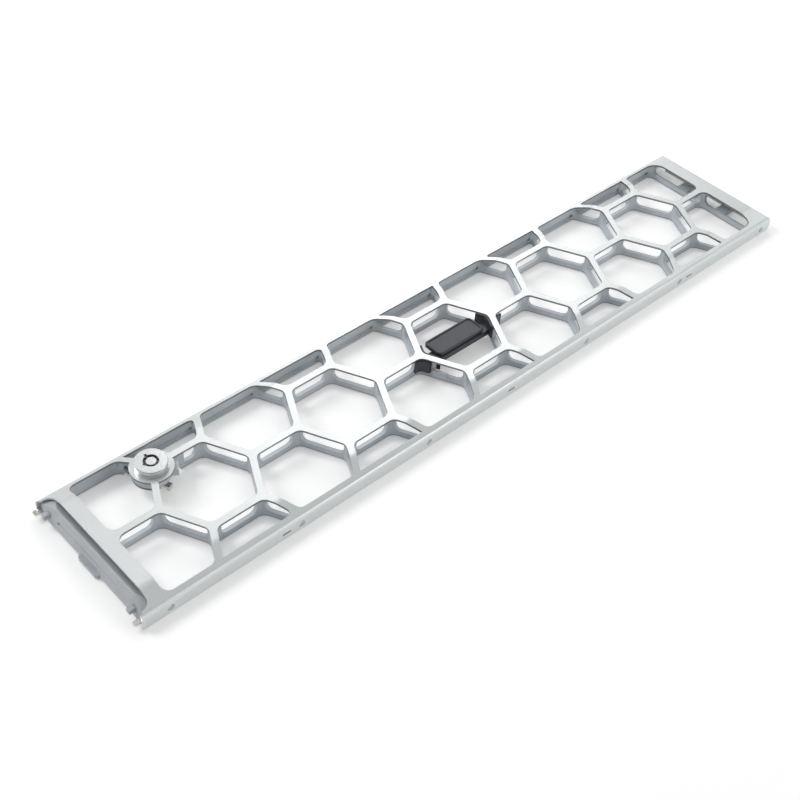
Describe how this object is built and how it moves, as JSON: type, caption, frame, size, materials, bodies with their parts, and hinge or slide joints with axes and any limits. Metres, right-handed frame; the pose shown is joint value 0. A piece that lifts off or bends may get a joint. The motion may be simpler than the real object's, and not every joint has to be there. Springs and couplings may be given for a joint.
{
  "type": "server front bezel",
  "caption": "Server front bezel that clips to the rack ears: pressed silver cover with an open hexagon lattice over a moulded frame, key lock, sliding end latch and blank badge plate",
  "frame": {"origin": "middle of the bounding box seen from the front, on the plane of the back edges", "axes": "+Z out of the front, +X along the length from the latch end to the fixed-hook end, +Y to the edge that is at the top in use"},
  "size_m": [0.4708, 0.086, 0.0163],
  "materials": {
    "silver_face": "satin silver paint",
    "frame_grey": "moulded grey, fine texture",
    "latch_grey": "moulded grey, satin",
    "lock_metal": "satin nickel",
    "steel": "bright zinc",
    "dark_steel": "dark oiled",
    "spring_steel": "drawn wire",
    "brass_pins": "turned",
    "badge_black": "moulded near-black, satin"
  },
  "bodies": {
    "root": {"front_cover": "silver_face", "inner_frame": "frame_grey", "guide_pegs": "latch_grey", "lock_cylinder": "lock_metal", "plug_pin": "steel", "lock_clip": "dark_steel", "badge_bracket": "badge_black", "badge_plate": "badge_black", "badge_screws": "steel", "right_hook_plate": "steel", "right_hook_screws": "steel", "latch_spring_lower": "spring_steel", "latch_spring_upper": "spring_steel"},
    "latch": {"release_latch": "latch_grey", "latch_hook_plate": "steel", "latch_plate_screws": "steel"},
    "lock": {"lock_plug": "lock_metal", "key_pins": "brass_pins", "lock_cam": "steel", "cam_washer": "steel", "cam_screw": "steel"}
  },
  "joints": [
    {"name": "latch_slide", "type": "slide", "parent": "root", "child": "latch", "axis": [1, 0, 0], "range_m": [0, 0.003], "stiffness_N_per_m": 900, "springref_m": -0.002, "deforming": ["latch_spring_lower", "latch_spring_upper"]},
    {"name": "lock_turn", "type": "hinge", "parent": "root", "child": "lock", "pos_m": [-0.18055, 0.0238, 0.008], "axis": [0, 0, 1], "range_deg": [0, 90]}
  ]
}
